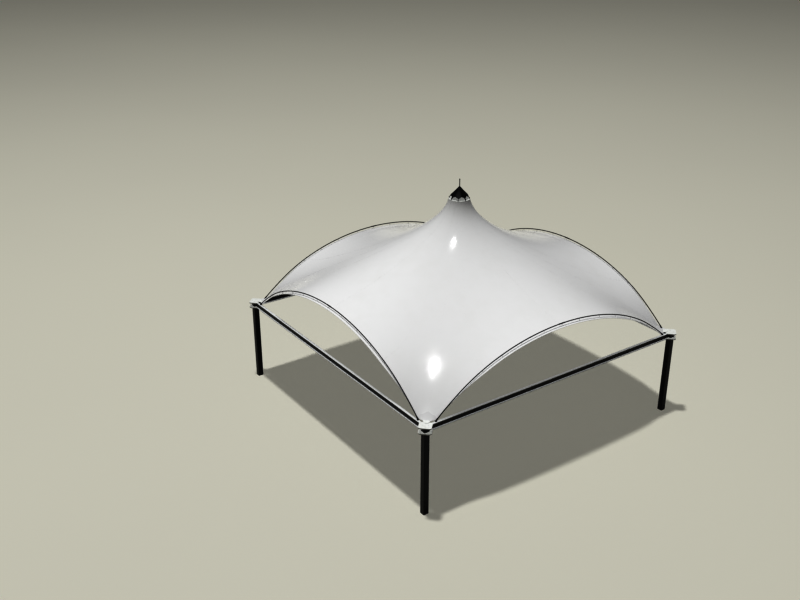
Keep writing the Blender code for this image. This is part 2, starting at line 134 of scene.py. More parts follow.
# Screws in the node plates, and the weld under each collar.
SCREW_OFF = 0.048
COLLAR_SCREW_OFF = 0.115
SCREW_R = 0.009
SCREW_HIGH = 0.005
SCREW_EDGE = 0.0015
SCREW_SOCKET_R = 0.0042
SCREW_SIDES = 24
WELD_R = 0.004
WELD_CORNER = 0.018
WELD_STEPS = 6
WELD_SIDES = 8

# The peak cap's pleats: how its folds dip, and how its seams stand up and fade at the tip.
CAP_GORES = 8
CAP_SIDES = 160
CAP_STEPS = 14
CAP_SHEET = 0.006
CAP_TIP_R = 0.034
CAP_PLEAT_IN = 0.028
CAP_PLEAT_UP = 0.040
CAP_SAG = 0.004
CAP_SEAM = 0.0025
CAP_DIP_POWER = 0.9
CAP_SEAM_NARROW = 9.0
CAP_SEAM_FADE = 6.0

# Knots closer than MERGE are joined. A direction with less than UPRIGHT across is upright.
MERGE = 1e-6
UPRIGHT = 1e-4

# Edges sharper than these angles, in degrees, aren't smoothed over.
SHARP = 35.0
SHARP_LAYER = 60.0
SHARP_SKIN = 50.0
SHARP_CAP = 30.0

# Colours, each with the one that wear, dust or handling leads to. The patch colours and the rope's
# shade also hold painted shade.
BLACK = (0.012, 0.012, 0.013)
BLACK_DUST = (0.03, 0.03, 0.028)
WHITE = (0.86, 0.87, 0.85)
WHITE_DUST = (0.62, 0.62, 0.58)
ALUMINIUM = (0.87, 0.88, 0.88)
ALUMINIUM_MARKS = (0.74, 0.75, 0.76)
CAP_BLACK = (0.02, 0.02, 0.021)
CAP_DUST = (0.04, 0.04, 0.038)
FABRIC = (0.88, 0.88, 0.88)
FABRIC_SOIL = (0.83, 0.83, 0.82)
# The corner patches are painted darker than the sheet: painted shade for the steep corner, with
# random soil over it.
PATCH_PAINTED_SHADE = (0.81, 0.81, 0.81)
PATCH_SOIL = (0.77, 0.77, 0.76)
ROPE = (0.86, 0.86, 0.86)
# How much darker the rope is painted between its strands: painted shade.
ROPE_SHADE = 0.8
GROUND = (0.705, 0.697, 0.635)
GROUND_PALE = (0.695, 0.687, 0.627)

# The camera that was fitted to the photograph, turned in degrees, and where its light stands.
CAMERA_AT = (18.9015, -15.1889, 13.987)
CAMERA_TURN = (65.21, 0.0, 54.816)
CAMERA_LENS = 44.6
SENSOR = 36.0
VIEW_END = 1000.0
LAMP_AT = (-1.6, -6.6, 55.0)
LAMP_RADIUS = 1.6
LAMP_POWER = 18.2
FILL_POWER = 22.8
SKY = 0.05
FLOOR_BOUNCE = 0.5
HORIZON = (0.30, 0.30, 0.275)
TONE_GAMMA = 1 / 2.2
FLOOR_REACH = 260.0
FLOOR_CELLS = 8


# Materials

# Sockets of the Mix node when it mixes colours.
MIX_FIRST, MIX_SECOND, MIX_RESULT = 6, 7, 2


class Finish:
    """A material built round one Principled shader, with helpers for its texture nodes."""

    def __init__(self, name, colour, roughness, metallic=0.0):
        self.material = bpy.data.materials.new(name)
        self.material.use_nodes = True
        self.material.diffuse_color = (*colour, 1.0)
        self.tree = self.material.node_tree
        self.shader = self.tree.nodes["Principled BSDF"]
        self.set("Base Color", (*colour, 1.0))
        self.set("Roughness", roughness)
        self.set("Metallic", metallic)
        self.where = self.add("ShaderNodeTexCoord")

    def set(self, socket, value):
        self.shader.inputs[socket].default_value = value

    def add(self, kind, **settings):
        node = self.tree.nodes.new(kind)
        for key, value in settings.items():
            setattr(node, key, value)
        return node

    def feed(self, socket, value):
        """Gives a socket a constant or another node's output."""
        if isinstance(value, bpy.types.NodeSocket):
            self.tree.links.new(value, socket)
        elif isinstance(value, tuple):
            socket.default_value = (*value, 1.0)
        else:
            socket.default_value = value

    def place(self, stretch, coords="Object"):
        """Texture coordinates, stretched along each axis."""
        mapping = self.add("ShaderNodeMapping")
        mapping.inputs["Scale"].default_value = stretch
        self.feed(mapping.inputs["Vector"], self.where.outputs[coords])
        return mapping.outputs["Vector"]

    def noise(self, scale, detail=4.0, stretch=(1.0, 1.0, 1.0), coords="Object"):
        node = self.add("ShaderNodeTexNoise")
        node.inputs["Scale"].default_value = scale
        node.inputs["Detail"].default_value = detail
        self.feed(node.inputs["Vector"], self.place(stretch, coords))
        return node.outputs["Fac"]

    def levels(self, value, low, high, out_low=0.0, out_high=1.0):
        """The value's range from low to high, spread over the range from out_low to out_high."""
        node = self.add("ShaderNodeMapRange")
        self.feed(node.inputs["Value"], value)
        ends = {"From Min": low, "From Max": high, "To Min": out_low, "To Max": out_high}
        for name, level in ends.items():
            node.inputs[name].default_value = level
        return node.outputs["Result"]

    def maths(self, operation, first, second):
        node = self.add("ShaderNodeMath", operation=operation)
        self.feed(node.inputs[0], first)
        self.feed(node.inputs[1], second)
        return node.outputs["Value"]

    def mix(self, share, first, second):
        """Colour from first to second by share."""
        node = self.add("ShaderNodeMix", data_type="RGBA")
        self.feed(node.inputs[0], share)
        self.feed(node.inputs[MIX_FIRST], first)
        self.feed(node.inputs[MIX_SECOND], second)
        return node.outputs[MIX_RESULT]

    def colour(self, value):
        self.feed(self.shader.inputs["Base Color"], value)

    def uneven_gloss(self, value, roughness, smoother, rougher):
        """Roughness that follows a noise, from a little smoother to a little rougher."""
        low, high = roughness - smoother, roughness + rougher
        spread = self.levels(value, low=0.3, high=0.7, out_low=low, out_high=high)
        self.feed(self.shader.inputs["Roughness"], spread)

    def bump(self, height, distance, strength=1.0):
        """Adds relief, in metres, on top of the relief that is there."""
        node = self.add("ShaderNodeBump")
        node.inputs["Strength"].default_value = strength
        node.inputs["Distance"].default_value = distance
        self.feed(node.inputs["Height"], height)
        normal = self.shader.inputs["Normal"]
        if normal.is_linked:
            self.feed(node.inputs["Normal"], normal.links[0].from_socket)
        self.feed(normal, node.outputs["Normal"])


def powder_coat(name, colour, worn, roughness, dust):
    """Painted metal: a fine orange-peel skin, uneven gloss and a little dust in soft patches."""
    finish = Finish(name, colour, roughness)
    patches = finish.noise(scale=1.7, detail=6.0)
    streaks = finish.noise(scale=9.0, detail=5.0, stretch=(1.0, 1.0, 0.15))
    both = finish.maths("MULTIPLY", patches, streaks)
    dusty = finish.levels(both, low=0.18, high=0.42, out_high=dust)
    finish.colour(finish.mix(dusty, colour, worn))
    finish.uneven_gloss(streaks, roughness, smoother=0.06, rougher=0.08)
    finish.bump(finish.noise(scale=900.0, detail=2.0), distance=0.00006)
    finish.bump(finish.noise(scale=140.0, detail=3.0), distance=0.00012)
    return finish.material


def anodised(name, colour, marked, roughness):
    """Extruded aluminium with fine lines along its length and dull handling marks.

    A thick pale anodising scatters most of the light, so it is only partly metallic.
    """
    finish = Finish(name, colour, roughness, metallic=0.1)
    lines = finish.noise(scale=260.0, detail=2.0, stretch=(0.02, 1.0, 1.0))
    marks = finish.noise(scale=6.0, detail=6.0)
    handled = finish.levels(marks, low=0.35, high=0.7, out_high=0.35)
    finish.colour(finish.mix(handled, colour, marked))
    finish.uneven_gloss(lines, roughness, smoother=0.08, rougher=0.1)
    finish.bump(lines, distance=0.00003)
    return finish.material


def coated_fabric(name, colour, soil, roughness, gloss):
    """White coated membrane: a woven base under a lacquer, with faint clouding.

    The UV map is in metres, along the weave.
    """
    finish = Finish(name, colour, roughness)
    clouds = finish.noise(scale=0.8, detail=5.0)
    runs = finish.noise(scale=3.0, detail=6.0, stretch=(1.0, 1.0, 0.25))
    both = finish.maths("MULTIPLY", clouds, runs)
    soiled = finish.levels(both, low=0.2, high=0.45, out_high=0.3)
    finish.colour(finish.mix(soiled, colour, soil))
    finish.uneven_gloss(runs, roughness, smoother=0.03, rougher=0.05)
    waves = []
    for direction in ("X", "Y"):
        wave = finish.add("ShaderNodeTexWave", bands_direction=direction)
        wave.inputs["Scale"].default_value = 60.0
        finish.feed(wave.inputs["Vector"], finish.place((1.0, 1.0, 1.0), "UV"))
        waves.append(wave.outputs["Fac"])
    finish.bump(finish.maths("MAXIMUM", *waves), distance=0.00008, strength=0.6)
    finish.bump(finish.noise(scale=14.0, detail=3.0, coords="UV"), distance=0.0004, strength=0.5)
    finish.set("Specular IOR Level", gloss)
    return finish.material


def rope_finish(name, colour):
    """Twisted rope, with painted shade between its strands."""
    finish = Finish(name, colour, roughness=0.7)
    twist = finish.add("ShaderNodeTexWave", bands_direction="DIAGONAL")
    twist.inputs["Scale"].default_value = 35.0
    twist.inputs["Distortion"].default_value = 1.0
    finish.feed(twist.inputs["Vector"], finish.place((1.0, 1.0, 1.0)))
    # Painted shade in the grooves between the strands.
    painted_shade = tuple(ROPE_SHADE * c for c in colour)
    finish.colour(finish.mix(twist.outputs["Fac"], painted_shade, colour))
    finish.bump(twist.outputs["Fac"], distance=0.0006)
    return finish.material


def ground_finish(name, colour, pale):
    """Bare matte ground that gives back less light to other surfaces than to the camera."""
    finish = Finish(name, colour, roughness=0.9)
    clouds = finish.noise(scale=0.05, detail=3.0)
    ground = finish.mix(finish.levels(clouds, low=0.3, high=0.7), colour, pale)
    bounced = finish.add("ShaderNodeLightPath").outputs["Is Diffuse Ray"]
    dim = tuple(c * FLOOR_BOUNCE for c in colour)
    finish.colour(finish.mix(bounced, ground, dim))
    finish.bump(finish.noise(scale=60.0), distance=0.0006, strength=0.4)
    finish.set("Specular IOR Level", 0.1)
    return finish.material


# Meshes


def mesh_from(bm, name, material, smooth=True, sharp=SHARP):
    """Turns the bmesh into a mesh with one material, and frees it."""
    bmesh.ops.recalc_face_normals(bm, faces=bm.faces)
    mesh = bpy.data.meshes.new(name)
    bm.to_mesh(mesh)
    bm.free()
    mesh.materials.append(material)
    if smooth:
        mesh.shade_smooth()
        mesh.set_sharp_from_angle(angle=math.radians(sharp))
    return mesh


def place(name, mesh, turns=0):
    """Adds the mesh as a piece of the frame, turned about the middle by quarter turns."""
    made = bpy.data.objects.new(name, mesh)
    made.rotation_euler = (0.0, 0.0, turns * math.pi / 2)
    bpy.context.scene.collection.objects.link(made)
    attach(made, "root")
    return made


def skin_rings(bm, rings, closed=False):
    """Bridges equal rings of points. An open run gets an end face at each end."""
    loops = [[bm.verts.new(p) for p in ring] for ring in rings]
    pairs = list(zip(loops, loops[1:]))
    if closed:
        pairs.append((loops[-1], loops[0]))
    for low, high in pairs:
        for i in range(len(low)):
            j = (i + 1) % len(low)
            bm.faces.new((low[i], low[j], high[j], high[i]))
    if not closed:
        bm.faces.new(list(reversed(loops[0])))
        bm.faces.new(loops[-1])


def circle(centre, radius, across, up, sides):
    """Points round the centre, in the plane of the directions across and up."""
    points = []
    for i in range(sides):
        angle = 2 * math.pi * i / sides
        points.append(centre + radius * (math.cos(angle) * across + math.sin(angle) * up))
    return points


def tube_loop(bm, points, radius, sides):
    """Adds a round tube along a closed run of points."""
    rings = []
    for i, point in enumerate(points):
        along = (points[(i + 1) % len(points)] - points[i - 1]).normalized()
        across = along.cross(Vector((0.0, 0.0, 1.0)))
        if across.length < UPRIGHT:
            across = Vector((1.0, 0.0, 0.0))
        across.normalize()
        rings.append(circle(point, radius, across, across.cross(along), sides))
    skin_rings(bm, rings, closed=True)


# The membrane's form


def past_ease(x):
    """How far x is past the place where the arched curves start to ease off."""
    return max(0.0, abs(x) - FOOT_FROM)


def curve_height(x, top, a, b):
    """Height of a flattened ellipse at x, which eases off at its feet."""
    return top - b * (1.0 - math.sqrt(1.0 - (x / a) ** 2)) + FOOT_EASE * past_ease(x) ** 2


def edge_plane(x):
    """How far out the free edge runs at x."""
    start, end = EDGE_TURN
    share = min(max((abs(x) - start) / (end - start), 0.0), 1.0)
    turned_in = share**2 * (3.0 - 2.0 * share)
    return -(HALF + EDGE_OUT) + (EDGE_OUT + EDGE_IN) * turned_in


def quarter_edge(edge_steps, corner_steps):
    """The membrane's outer edge for one side and the corner after it."""
    points = []
    for step in range(edge_steps):
        x = EDGE_END * (2 * step / edge_steps - 1)
        points.append((x, edge_plane(x), curve_height(x, EDGE_TOP, EDGE_A, EDGE_B)))
    plane = edge_plane(EDGE_END)
    low = curve_height(EDGE_END, EDGE_TOP, EDGE_A, EDGE_B)
    for step in range(corner_steps):
        share = step / corner_steps
        run = (HALF - EDGE_IN - EDGE_END) * share
        ramp = min(1.0, CORNER_RAMP * share, CORNER_RAMP * (1.0 - share))
        out = CORNER_OUT * ramp / math.sqrt(2.0)
        points.append((EDGE_END + run + out, plane + run - out, low))
    return np.array(points)


def whole_edge(edge_steps, corner_steps):
    """The membrane's outer edge, all the way round."""
    quarter = quarter_edge(edge_steps, corner_steps)
    turned_edges = []
    for turns in range(4):
        turn = np.array(Matrix.Rotation(-turns * math.pi / 2, 3, "Z"))
        turned_edges.append(quarter @ turn)
    return np.concatenate(turned_edges)


def rim_points(outer):
    """Points on the crown ring's rim, at the same bearings as the outer edge."""
    bearing = np.arctan2(outer[:, 1], outer[:, 0])
    start = RING_R + 2 * GAP
    level = np.full(len(outer), SKIN_RIM_Z)
    return np.stack([start * np.cos(bearing), start * np.sin(bearing), level], 1)


def tension_weights(grid):
    """Force densities of a net stretched with a fixed ratio of hoop to radial stress."""
    radial = np.linalg.norm(grid[1:] - grid[:-1], axis=2)
    hoop = np.linalg.norm(np.roll(grid, -1, axis=1) - grid, axis=2)
    hoop_width = (np.roll(hoop, 1, axis=1) + hoop) / 2
    radial_width = np.zeros_like(hoop)
    radial_width[1:-1] = (radial[1:] + radial[:-1]) / 2
    radial_width = (radial_width + np.roll(radial_width, -1, axis=1)) / 2
    reach = np.linalg.norm(grid[..., :2], axis=2).mean(axis=1)
    stress = (reach / reach[0]) ** (HOOP_SHARE - 1)
    radial_stress = (stress[1:] + stress[:-1]) / 2
    along = (hoop_width[1:] + hoop_width[:-1]) / 2 / radial * radial_stress[:, None]
    round_about = HOOP_SHARE * stress[:, None] * radial_width / hoop
    return along, round_about


def balance(grid):
    """The grid with every free knot in balance between its neighbours."""
    rows, columns = grid.shape[0] - 1, grid.shape[1]
    along, round_about = tension_weights(grid)
    size = (rows - 1) * columns
    matrix = np.zeros((size, size))
    pull = np.zeros((size, 3))
    for i in range(1, rows):
        for j in range(columns):
            here = (i - 1) * columns + j
            after, before = (j + 1) % columns, (j - 1) % columns
            ties = (
                (along[i, j], i + 1, j),
                (along[i - 1, j], i - 1, j),
                (round_about[i, j], i, after),
                (round_about[i, before], i, before),
            )
            for weight, ti, tj in ties:
                matrix[here, here] += weight
                if 0 < ti < rows:
                    matrix[here, (ti - 1) * columns + tj] -= weight
                else:
                    pull[here] += weight * grid[ti, tj]
    solved = grid.copy()
    solved[1:rows] = np.linalg.solve(matrix, pull).reshape(rows - 1, columns, 3)
    return solved


def relax(grid):
    """A few sweeps that pull each free knot to the weighted mean of its neighbours."""
    along, round_about = tension_weights(grid)
    before = np.roll(round_about, 1, axis=1)[1:-1, :, None]
    after = round_about[1:-1, :, None]
    out = along[1:, :, None]
    back = along[:-1, :, None]
    total = before + after + out + back
    for _ in range(RELAX_SWEEPS):
        middle = grid[1:-1]
        mean = (
            out * grid[2:]
            + back * grid[:-2]
            + after * np.roll(middle, -1, axis=1)
            + before * np.roll(middle, 1, axis=1)
        ) / total
        grid[1:-1] = (middle + 2 * mean) / 3
    return grid


def coarse_grid():
    """The coarse net, brought into balance. Its rows are closest together at the ring."""
    outer = whole_edge(EDGE_STEPS, CORNER_STEPS)
    inner = rim_points(outer)
    spread = (np.arange(RING_STEPS + 1) / RING_STEPS) ** RING_CROWDING
    grid = inner[None] + (outer - inner)[None] * spread[:, None, None]
    for _ in range(SHAPING_ROUNDS):
        grid = balance(grid)
    return grid


def smooth_between(values, count):
    """Catmull-Rom points between rows of values, count to each step. The ends run on straight."""
    before, after = 2 * values[:1] - values[1:2], 2 * values[-1:] - values[-2:-1]
    padded = np.concatenate([before, values, after])
    rows = []
    for i in range(len(values) - 1):
        a, b, c, d = padded[i : i + 4]
        for step in range(count):
            t = step / count
            bend = 2 * a - 5 * b + 4 * c - d + t * (3 * (b - c) + d - a)
            rows.append(b + t / 2 * (c - a + t * bend))
    rows.append(values[-1])
    return np.array(rows)


def membrane_grid():
    """Knots of the skin's middle surface. Rows run from the ring to the edge, columns run round."""
    coarse = coarse_grid()
    wrapped = np.concatenate([coarse, coarse[:, :1]], axis=1)
    across = smooth_between(wrapped.transpose(1, 0, 2), FINER)[:-1].transpose(1, 0, 2)
    fine = smooth_between(across, FINER)
    fine[-1] = whole_edge(EDGE_STEPS * FINER, CORNER_STEPS * FINER)
    fine[0] = rim_points(fine[-1])
    for _ in range(RELAX_ROUNDS):
        fine = relax(fine)
    return fine


def grid_normals(grid):
    """Unit normals of the skin at its knots, pointing up and out."""
    down = np.gradient(grid, axis=0)
    across = (np.roll(grid, -1, axis=1) - np.roll(grid, 1, axis=1)) / 2
    normal = np.cross(down, across)
    return normal / np.linalg.norm(normal, axis=2)[..., None]


class Skin:
    """The membrane's middle surface, read by column and by distance in from the free edge."""

    def __init__(self):
        self.grid = membrane_grid()
        self.normals = grid_normals(self.grid)
        steps = np.linalg.norm(np.diff(self.grid, axis=0), axis=2)
        lengths = np.concatenate([np.zeros((1, steps.shape[1])), np.cumsum(steps, axis=0)])
        self.from_edge = lengths[-1] - lengths
        self.columns = self.grid.shape[1]

    def at(self, column, distance):
        """(point, normal) at a distance in from the edge, along one column."""
        column %= self.columns
        run = self.from_edge[::-1, column]
        point = [np.interp(distance, run, self.grid[::-1, column, k]) for k in range(3)]
        normal = [np.interp(distance, run, self.normals[::-1, column, k]) for k in range(3)]
        return Vector(point), Vector(normal).normalized()


def layered(skin, rows, name, material, lift):
    """A thin layer on both faces of the sheet. rows are runs of (column, distance) pairs."""
    bm = bmesh.new()
    over, under = [], []
    for row in rows:
        top, low = [], []
        for column, distance in row:
            point, normal = skin.at(column, distance)
            top.append(bm.verts.new(point + normal * lift))
            low.append(bm.verts.new(point - normal * lift))
        over.append(top)
        under.append(low)
    closed = rows[0][0][0] == rows[0][-1][0] - skin.columns
    wide = len(rows[0])
    for i in range(len(rows) - 1):
        for j in range(wide - 1):
            bm.faces.new((over[i][j], over[i + 1][j], over[i + 1][j + 1], over[i][j + 1]))
            bm.faces.new((under[i][j], under[i][j + 1], under[i + 1][j + 1], under[i + 1][j]))
    for i in (0, len(rows) - 1):
        for j in range(wide - 1):
            bm.faces.new((over[i][j], over[i][j + 1], under[i][j + 1], under[i][j]))
    if closed:
        bmesh.ops.remove_doubles(bm, verts=bm.verts, dist=MERGE)
    else:
        for j in (0, wide - 1):
            for i in range(len(rows) - 1):
                bm.faces.new((over[i][j], over[i + 1][j], under[i + 1][j], under[i][j]))
    return mesh_from(bm, name, material, sharp=SHARP_LAYER)


def make_membrane(skin, fabric):
    """The continuous sheet, 3 mm thick, with a UV map in metres along the weave."""
    half = SHEET_THICK / 2
    bm = bmesh.new()
    uv = bm.loops.layers.uv.new("UVMap")
    grid, normals = skin.grid, skin.normals
    rows, columns = grid.shape[:2]
    over = [[bm.verts.new(p) for p in row] for row in grid + normals * half]
    under = [[bm.verts.new(p) for p in row] for row in grid - normals * half]
    perimeter = 4 * 2 * HALF
    around = np.arange(columns + 1) * perimeter / columns

    def quad(i, j, layer):
        k = (j + 1) % columns
        face = bm.faces.new((layer[i][j], layer[i + 1][j], layer[i + 1][k], layer[i][k]))
        places = ((i, j, j), (i + 1, j, j), (i + 1, k, j + 1), (i, k, j + 1))
        for loop, (row, column, step) in zip(face.loops, places):
            loop[uv].uv = (around[step], skin.from_edge[row, column])

    for i in range(rows - 1):
        for j in range(columns):
            quad(i, j, over)
            quad(i, j, under)
    for i in (0, rows - 1):
        for j in range(columns):
            k = (j + 1) % columns
            bm.faces.new((over[i][j], over[i][k], under[i][k], under[i][j]))
    mesh = mesh_from(bm, "membrane", fabric, sharp=SHARP_SKIN)
    made = place("membrane", mesh, 0)
    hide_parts(*[f"membrane_{side}" for side in SIDES])
    return made


def make_hem(skin, fabric):
    """The double band along the whole free edge."""
    columns = list(range(skin.columns + 1))
    rows = [[(c, distance) for c in columns] for distance in (HEM_START, HEM_WIDE / 2, HEM_WIDE)]
    mesh = layered(skin, rows, "membrane_hem", fabric, SHEET_THICK / 2 + LAYER)
    return place("membrane_hem", mesh, 0)


def make_hem_rope(skin, fabric):
    """The rope in the hem's pocket, on the very edge."""
    points = [Vector(p) for p in skin.grid[-1]]
    bm = bmesh.new()
    tube_loop(bm, points, HEM_ROPE_R, HEM_ROPE_SIDES)
    mesh = mesh_from(bm, "membrane_edge_rope", fabric)
    return place("membrane_edge_rope", mesh, 0)


def make_patches(skin, fabric):
    """Double corner patches that fan in from the clamps."""
    per_quarter = (EDGE_STEPS + CORNER_STEPS) * FINER
    middle = EDGE_STEPS * FINER + CORNER_STEPS * FINER // 2
    made = []
    for turns, corner in enumerate(CORNERS):
        centre = middle + turns * per_quarter
        columns = range(centre - PATCH_HALF, centre + PATCH_HALF + 1)
        rows = []
        for step in range(PATCH_STEPS + 1):
            share = step / PATCH_STEPS
            row = []
            for column in columns:
                sweep = math.cos(math.pi / 2 * (column - centre) / (PATCH_HALF + PATCH_FLARE))
                row.append((column, PATCH_START + share * PATCH_LONG * sweep))
            rows.append(row)
        name = f"corner_patch_{corner}"
        mesh = layered(skin, rows, name, fabric, SHEET_THICK / 2 + 2 * LAYER)
        made.append(place(name, mesh, 0))
    return made


def make_seams(skin, fabric):
    """Flat welded overlaps that run from the ring to the edge, one on each diagonal too."""
    per_quarter = (EDGE_STEPS + CORNER_STEPS) * FINER
    corner = EDGE_STEPS * FINER + CORNER_STEPS * FINER // 2
    bm = bmesh.new()
    lift = SHEET_THICK / 2 + LAYER / 2
    for turns in range(4):
        for seam in range(SEAMS_PER_SIDE):
            column = round(corner + turns * per_quarter + seam * per_quarter / SEAMS_PER_SIDE)
            column %= skin.columns
            grid, normals = skin.grid[:, column], skin.normals[:, column]
            beside = skin.grid[:, (column + 1) % skin.columns] - grid
            rings = []
            for point, normal, across in zip(grid, normals, beside):
                point, normal, across = Vector(point), Vector(normal), Vector(across)
                across = (across - across.dot(normal) * normal).normalized() * SEAM_WIDE / 2
                rings.append(
                    [
                        point - across + normal * lift,
                        point + across + normal * lift,
                        point + across - normal * lift,
                        point - across - normal * lift,
                    ]
                )
            skin_rings(bm, rings)
    mesh = mesh_from(bm, "membrane_seams", fabric, sharp=SHARP_LAYER)
    return place("membrane_seams", mesh, 0)


# Arches


def arch_point(x):
    """The middle of the first side's arch tube at x."""
    return Vector((x, -(HALF - ARCH_IN), curve_height(x, ARCH_TOP, ARCH_A, ARCH_B)))


def arch_slope(x):
    """Unit tangent of the arch at x, towards +X."""
    share = x / ARCH_A
    rise = -ARCH_B * share / (ARCH_A * math.sqrt(1.0 - share**2))
    rise += math.copysign(2 * FOOT_EASE * past_ease(x), x)
    return Vector((1.0, 0.0, rise)).normalized()


def make_arches(black):
    """Round arch tubes with socket ends, flanges and a splice sleeve at the top."""
    seat = RAIL_TOP + GAP
    flange_top = seat + FLANGE_THICK
    out = Vector((0.0, -1.0, 0.0))

    def ring(x, radius):
        slope = arch_slope(x)
        return circle(arch_point(x), radius, out, slope.cross(out), ARCH_SIDES)

    def slid_down(points, x):
        """Slides a ring along the tube onto the flange's top face."""
        along = arch_slope(x)
        return [p + along * ((flange_top - p.z) / along.z) for p in points]

    def flange(points, radius, z):
        centre = sum(points, Vector()) / len(points)
        made = []
        for p in points:
            bearing = Vector((p.x - centre.x, p.y - centre.y, 0.0)).normalized()
            made.append(Vector((centre.x, centre.y, z)) + radius * bearing)
        return made

    socket = ARCH_FOOT - SOCKET_LONG * arch_slope(ARCH_FOOT).x
    tube = []
    for step in range(ARCH_STEPS + 1):
        x = socket * math.sin(math.pi * (step / ARCH_STEPS - 0.5))
        tube.append(ring(x, ARCH_TUBE))
    left = slid_down(ring(-ARCH_FOOT, ARCH_SLEEVE), -ARCH_FOOT)
    right = slid_down(ring(ARCH_FOOT, ARCH_SLEEVE), ARCH_FOOT)
    rings = [
        flange(left, FLANGE_R, seat),
        flange(left, FLANGE_R, flange_top - FLANGE_EDGE),
        flange(left, FLANGE_R - FLANGE_EDGE, flange_top),
        left,
        ring(-socket - SOCKET_LIP, ARCH_SLEEVE),
        *tube,
        ring(socket + SOCKET_LIP, ARCH_SLEEVE),
        right,
        flange(right, FLANGE_R - FLANGE_EDGE, flange_top),
        flange(right, FLANGE_R, flange_top - FLANGE_EDGE),
        flange(right, FLANGE_R, seat),
    ]
    bm = bmesh.new()
    skin_rings(bm, rings)
    mesh = mesh_from(bm, "arch_tube", black)

    sleeve = bmesh.new()
    left_half = (
        (-SPLICE_HALF, 0.0),
        (-SPLICE_HALF, SPLICE_LIP),
        (-SPLICE_HALF + SPLICE_BEVEL, SPLICE_THICK),
    )
    profile = left_half + tuple((-x, grow) for x, grow in reversed(left_half))
    skin_rings(sleeve, [ring(x, ARCH_TUBE + grow) for x, grow in profile])
    sleeve_mesh = mesh_from(sleeve, "arch_splice", black)
    for turns, side in enumerate(SIDES):
        made = place(f"arch_tube_{side}", mesh, turns)
        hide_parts(f"arch_{side}")
        place(f"arch_splice_{side}", sleeve_mesh, turns)


def make_ties(skin, rope):
    """Slim ties from each arch tube down to the hem."""
    bm = bmesh.new()
    reach = EDGE_STEPS * FINER
    for tie in range(TIES_PER_SIDE):
        share = (tie + 1) / (TIES_PER_SIDE + 1)
        column = round(reach * share)
        edge = skin.grid[-1, column]
        run_in = max(TIE_INSET, -edge[1] - (HALF - ARCH_IN))
        hole, _ = skin.at(column, run_in)
        tube = arch_point(hole.x)
        centre = (hole + tube) / 2
        up = (tube - hole).normalized()
        out = Vector((1.0, 0.0, 0.0)).cross(up).normalized()
        long = (tube - hole).length / 2
        points = []
        for i in range(TIE_STEPS):
            angle = 2 * math.pi * i / TIE_STEPS
            spread = (ARCH_TUBE + TIE_R) * math.cos(angle)
            rise = math.sin(angle)
            wide = spread * (TIE_LOW_WIDE + (1.0 - TIE_LOW_WIDE) * (rise + 1) / 2)
            past = ARCH_TUBE + TIE_R if rise > 0 else TIE_R
            points.append(centre + out * wide + up * (long + past) * rise)
        tube_loop(bm, points, TIE_R, TIE_SIDES)
    mesh = mesh_from(bm, "membrane_ties", rope)
    for turns, side in enumerate(SIDES):
        place(f"membrane_ties_{side}", mesh, turns)


# Nodes and peak


def socket_screw(bm, x, y, seat, step):
    """A round screw head with a hexagonal socket, standing up (step 1) or hanging (step -1)."""
    base, top = seat + step * GAP, seat + step * SCREW_HIGH
    shoulder, floor = top - step * SCREW_EDGE, top - step * 2 * SCREW_EDGE
    head = [(SCREW_R, base), (SCREW_R, shoulder), (SCREW_R - SCREW_EDGE, top)]
    angles = [2 * math.pi * i / SCREW_SIDES for i in range(SCREW_SIDES)]
    facet = math.pi / 3
    rings = []
    for radius, z in head + [(SCREW_SOCKET_R, top), (SCREW_SOCKET_R, floor)]:
        ring = []
        for angle in angles:
            reach = radius
            if radius == SCREW_SOCKET_R:
                reach *= math.cos(facet / 2) / math.cos(angle % facet - facet / 2)
            ring.append((x + reach * math.cos(angle), y + reach * math.sin(angle), z))
        rings.append(ring)
    skin_rings(bm, rings)


def make_node_screws(white):
    """Four screws down into each post's head, and four up through the collar."""
    bm = bmesh.new()
    for sx in (-1, 1):
        for sy in (-1, 1):
            socket_screw(bm, HALF + sx * SCREW_OFF, -HALF + sy * SCREW_OFF, NODE_TOP, 1)
            off = (sx * COLLAR_SCREW_OFF, 0.0) if sx == sy else (0.0, sy * COLLAR_SCREW_OFF)
            socket_screw(bm, HALF + off[0], -HALF + off[1], COLLAR_Z, -1)
    mesh = mesh_from(bm, "node_screws", white)
    for turns, corner in enumerate(CORNERS):
        place(f"node_screws_{corner}", mesh, turns)


def make_collar_welds(white):
    """A weld bead round each post, under its collar plate."""
    level = COLLAR_Z - GAP - WELD_R
    straight = POST / 2 + GAP + WELD_R - WELD_CORNER
    points = []
    for quarter in range(4):
        turn = quarter * math.pi / 2
        for step in range(WELD_STEPS + 1):
            angle = turn + step * math.pi / (2 * WELD_STEPS)
            x = straight * (1 if quarter in (0, 3) else -1) + WELD_CORNER * math.cos(angle)
            y = straight * (1 if quarter in (0, 1) else -1) + WELD_CORNER * math.sin(angle)
            points.append(Vector((HALF + x, -HALF + y, level)))
    bm = bmesh.new()
    tube_loop(bm, points, WELD_R, WELD_SIDES)
    mesh = mesh_from(bm, "collar_weld", white)
    for turns, corner in enumerate(CORNERS):
        place(f"collar_weld_{corner}", mesh, turns)


